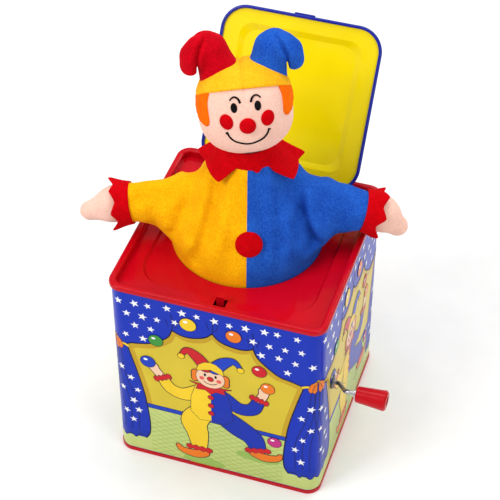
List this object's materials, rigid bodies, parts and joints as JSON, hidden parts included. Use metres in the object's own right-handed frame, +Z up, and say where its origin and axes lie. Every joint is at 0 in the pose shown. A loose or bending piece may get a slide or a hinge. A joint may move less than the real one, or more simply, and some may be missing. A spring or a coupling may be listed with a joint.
{
  "type": "jack in the box",
  "caption": "Square tin music box with a hinged lid, a side crank and a stuffed cloth clown on a coil spring that pops up through a round mouth.",
  "frame": {"origin": "middle of the box's underside", "axes": "+Z up, the lid hinges at +Y, the latch is at -Y, the crank comes out of the +X side"},
  "size_m": [0.2146, 0.1909, 0.3023],
  "materials": {
    "red_enamel": "gloss",
    "printed_tin": "gloss",
    "yellow_enamel": "gloss",
    "bright_steel": "satin",
    "spring_steel": "satin",
    "brass": "satin",
    "red_wood": "gloss lacquer",
    "dark_plastic": "matte",
    "zinc": "satin",
    "card": "matte",
    "yellow_velour": "brushed",
    "blue_velour": "brushed",
    "red_felt": "felt",
    "red_velour": "brushed",
    "face_cloth": "brushed",
    "hat_cloth": "brushed",
    "orange_felt": "felt",
    "black_thread": "thread"
  },
  "bodies": {
    "root": {"box_body": "printed_tin", "base_pan": "red_enamel", "top_tray": "red_enamel", "tray_hinge_loops": "bright_steel", "lid_hinge_pin": "bright_steel", "crank_grommet": "dark_plastic", "movement_frame": "bright_steel", "movement_screws": "bright_steel", "music_comb": "spring_steel", "comb_screws": "brass", "latch_hangers": "bright_steel", "latch_spring": "spring_steel", "spring_seat": "bright_steel", "seat_rivets": "zinc", "main_spring": "spring_steel"},
    "lid": {"lid": "yellow_enamel", "lid_hinge_leaf": "bright_steel"},
    "crank": {"crank_wire": "bright_steel", "crank_pinion": "brass", "knob_retainers": "bright_steel"},
    "knob": {"crank_knob": "red_wood"},
    "drum": {"drum_gear": "brass", "pin_drum": "brass", "drum_shaft": "bright_steel", "release_cam": "zinc"},
    "latch": {"latch_rocker_shaft": "bright_steel", "latch_hook": "red_enamel", "latch_trip_arm": "bright_steel"},
    "release_rod": {"release_rod": "bright_steel"},
    "clown_head": {"head": "face_cloth", "hat_crown": "hat_cloth", "hat_horn_left": "red_velour", "hat_horn_right": "blue_velour", "hair_left": "orange_felt", "hair_right": "orange_felt", "nose": "red_felt", "cheeks": "red_felt", "eyes": "black_thread", "smile_thread": "black_thread", "collar": "red_felt", "spring_top_disc": "card"},
    "clown_chest": {"tunic_left_half": "yellow_velour", "tunic_right_half": "blue_velour", "tummy_button": "red_felt"},
    "arm_left": {"sleeve_left": "yellow_velour", "cuff_left": "red_felt", "hand_left": "face_cloth"},
    "arm_right": {"sleeve_right": "blue_velour", "cuff_right": "red_felt", "hand_right": "face_cloth"}
  },
  "joints": [
    {"name": "lid_hinge", "type": "hinge", "parent": "root", "child": "lid", "pos_m": [0, 0.057, 0.1524], "axis": [1, 0, 0], "range_deg": [0, 124.1], "stiffness_Nm_per_rad": 0.99, "springref_deg": 1},
    {"name": "clown_pop", "type": "slide", "parent": "root", "child": "clown_head", "axis": [0, 0, -1], "range_m": [0, 0.166], "stiffness_N_per_m": 110, "springref_m": -0.00446, "deforming": ["main_spring", "hat_horn_left", "hat_horn_right"]},
    {"name": "chest_drop", "type": "slide", "parent": "root", "child": "clown_chest", "axis": [0, 0, -1], "range_m": [0, 0.1365], "stiffness_N_per_m": 110, "springref_m": -0.00462, "deforming": ["tunic_left_half", "tunic_right_half"]},
    {"name": "left_arm_fold", "type": "hinge", "parent": "clown_chest", "child": "arm_left", "pos_m": [-0.0443, -0.00763, 0.181], "axis": [0.2756, -0.9613, 0], "range_deg": [-93, 0], "stiffness_Nm_per_rad": 0.13, "springref_deg": -1.21, "deforming": ["sleeve_left", "cuff_left", "hand_left"]},
    {"name": "right_arm_fold", "type": "hinge", "parent": "clown_chest", "child": "arm_right", "pos_m": [0.0403, 0.01663, 0.181], "axis": [0.2756, -0.9613, 0], "range_deg": [0, 97], "stiffness_Nm_per_rad": 0.13, "springref_deg": 1.21, "deforming": ["sleeve_right", "cuff_right", "hand_right"]},
    {"name": "latch_pivot", "type": "hinge", "parent": "root", "child": "latch", "pos_m": [0, -0.0606, 0.141], "axis": [1, 0, 0], "range_deg": [-7, 0], "deforming": ["latch_spring"]},
    {"name": "release_slide", "type": "slide", "parent": "root", "child": "release_rod", "axis": [0, 0, 1], "range_m": [-0.0023, 0]},
    {"name": "crank_spin", "type": "hinge", "parent": "root", "child": "crank", "pos_m": [0.07, -0.0427, 0.0844], "axis": [1, 0, 0], "continuous": true},
    {"name": "drum_spin", "type": "hinge", "parent": "root", "child": "drum", "pos_m": [0.055, -0.0427, 0.06025], "axis": [1, 0, 0], "continuous": true},
    {"name": "knob_spin", "type": "hinge", "parent": "crank", "child": "knob", "pos_m": [0.097, -0.0587, 0.0964], "axis": [1, 0, 0], "continuous": true}
  ],
  "couplings": [
    {"joint": "clown_pop", "follows": "lid_hinge", "m_per_rad": 0.07664},
    {"joint": "chest_drop", "follows": "lid_hinge", "m_per_rad": 0.06302},
    {"joint": "left_arm_fold", "follows": "lid_hinge", "ratio": -0.74939},
    {"joint": "right_arm_fold", "follows": "lid_hinge", "ratio": 0.78162},
    {"joint": "release_slide", "follows": "latch_pivot", "m_per_rad": 0.018826},
    {"joint": "drum_spin", "follows": "crank_spin", "ratio": -0.33333}
  ]
}
